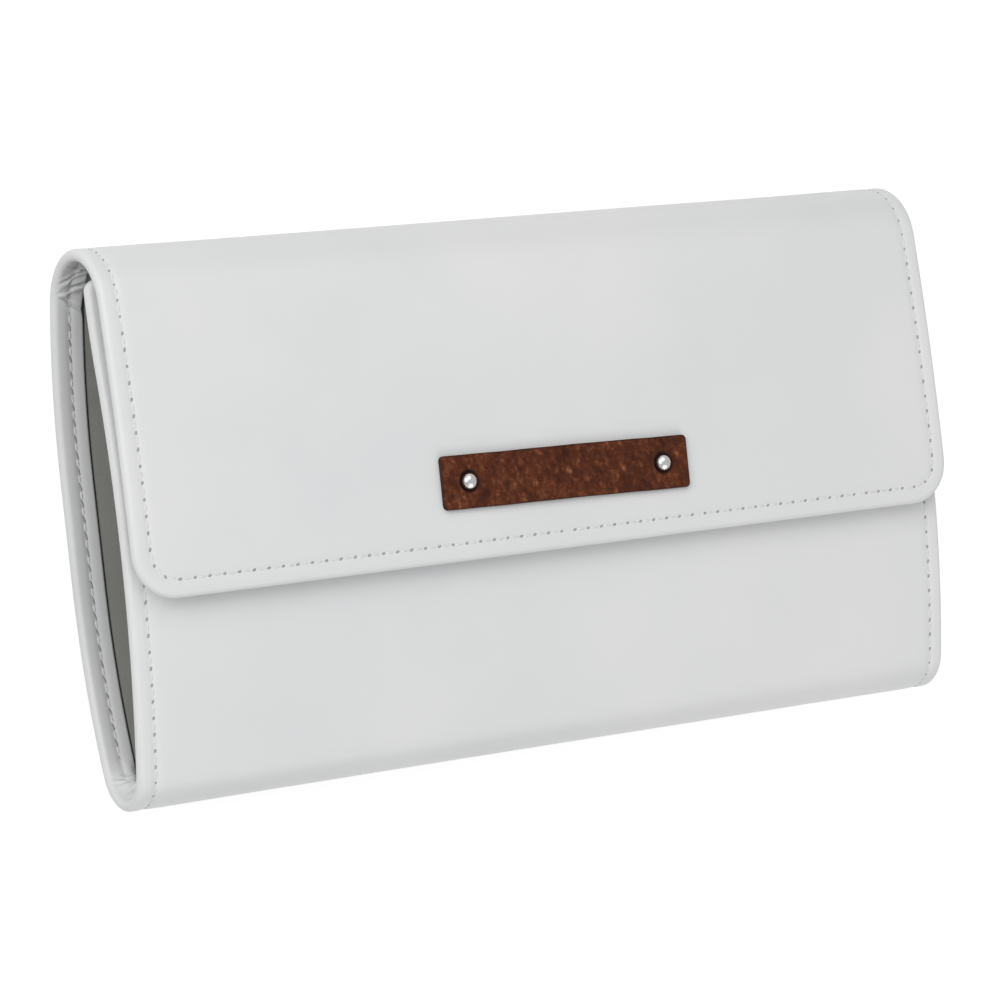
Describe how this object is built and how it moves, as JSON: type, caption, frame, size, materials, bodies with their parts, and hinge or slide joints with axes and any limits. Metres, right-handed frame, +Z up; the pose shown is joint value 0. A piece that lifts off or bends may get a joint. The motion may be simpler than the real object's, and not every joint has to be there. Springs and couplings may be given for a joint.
{
  "type": "jewelry wallet",
  "caption": "Tri-fold leather jewelry wallet with a snap flap, riveted label, zipped suede pockets, an earring strip and a swinging ring bar.",
  "frame": {"origin": "centre of the footprint, on the surface that the closed wallet's back panel lies on", "axes": "+X along the width (to the right for someone who reads the label), +Y from the bottom fold to the top fold, +Z up, from the back panel to the flap"},
  "size_m": [0.24, 0.135, 0.04],
  "materials": {
    "white_leather": "satin",
    "board": "matte",
    "foam": "matte",
    "suede_lining": "matte",
    "suede_pocket": "matte",
    "zip_tape": "matte",
    "zip_chain": "satin",
    "zip_metal": "polished",
    "brown_leather": "satin",
    "rivet_chrome": "polished",
    "steel": "satin",
    "snap_metal": "polished",
    "bar_suede": "matte",
    "bar_leather": "satin"
  },
  "bodies": {
    "back": {"back_leather": "white_leather", "back_board": "board", "back_lining": "suede_lining", "pocket_low": "suede_pocket", "pocket_mid": "suede_pocket", "pocket_top": "suede_pocket", "tape_low": "zip_tape", "chain_low": "zip_chain", "stops_low": "zip_metal", "tape_top": "zip_tape", "chain_top": "zip_chain", "stops_top": "zip_metal", "bottom_leather": "white_leather", "bottom_core": "foam", "bottom_lining": "suede_lining", "front_leather": "white_leather", "front_board": "board", "front_lining": "suede_lining", "snap_stud": "snap_metal", "stud_washer": "steel", "earring_strip": "suede_pocket", "bar_anchor": "bar_leather", "bar_rivet": "steel", "bar_keeper": "snap_metal"},
    "top_fold": {"top_leather": "white_leather", "top_core": "foam", "top_lining": "suede_lining"},
    "flap": {"flap_leather": "white_leather", "flap_foam": "foam", "flap_lining": "suede_lining", "label": "brown_leather", "rivet_left": "rivet_chrome", "rivet_right": "rivet_chrome", "burrs": "steel", "snap_socket": "snap_metal", "socket_washer": "steel"},
    "ring_bar": {"bar_roll": "bar_suede", "bar_strap": "bar_leather", "bar_magnet": "snap_metal"},
    "low_slider": {"slider_low": "zip_metal"},
    "low_pull": {"pull_low": "zip_metal"},
    "top_slider": {"slider_top": "zip_metal"},
    "top_pull": {"pull_top": "zip_metal"}
  },
  "joints": [
    {"name": "flap_fold", "type": "hinge", "parent": "back", "child": "top_fold", "pos_m": [0, 0.06311, 0.00929], "axis": [-1, 0, 0], "range_deg": [0, 90]},
    {"name": "flap_turn", "type": "hinge", "parent": "top_fold", "child": "flap", "pos_m": [0, 0.06311, 0.03051], "axis": [-1, 0, 0], "range_deg": [0, 90]},
    {"name": "ring_bar_swing", "type": "hinge", "parent": "back", "child": "ring_bar", "pos_m": [-0.078, -0.039, 0.0244], "axis": [0, 0, 1], "range_deg": [0, 20]},
    {"name": "low_zip_slide", "type": "slide", "parent": "back", "child": "low_slider", "axis": [-1, 0, 0], "range_m": [0, 0.176]},
    {"name": "low_pull_flip", "type": "hinge", "parent": "low_slider", "child": "low_pull", "pos_m": [0.08815, -0.0095, 0.00953], "axis": [0, 1, 0], "range_deg": [0, 150]},
    {"name": "top_zip_slide", "type": "slide", "parent": "back", "child": "top_slider", "axis": [-1, 0, 0], "range_m": [0, 0.176]},
    {"name": "top_pull_flip", "type": "hinge", "parent": "top_slider", "child": "top_pull", "pos_m": [0.08815, 0.03369, 0.01084], "axis": [0, 0.9923, 0.1238], "range_deg": [0, 150]}
  ],
  "couplings": [
    {"joint": "flap_turn", "follows": "flap_fold", "ratio": 1}
  ]
}
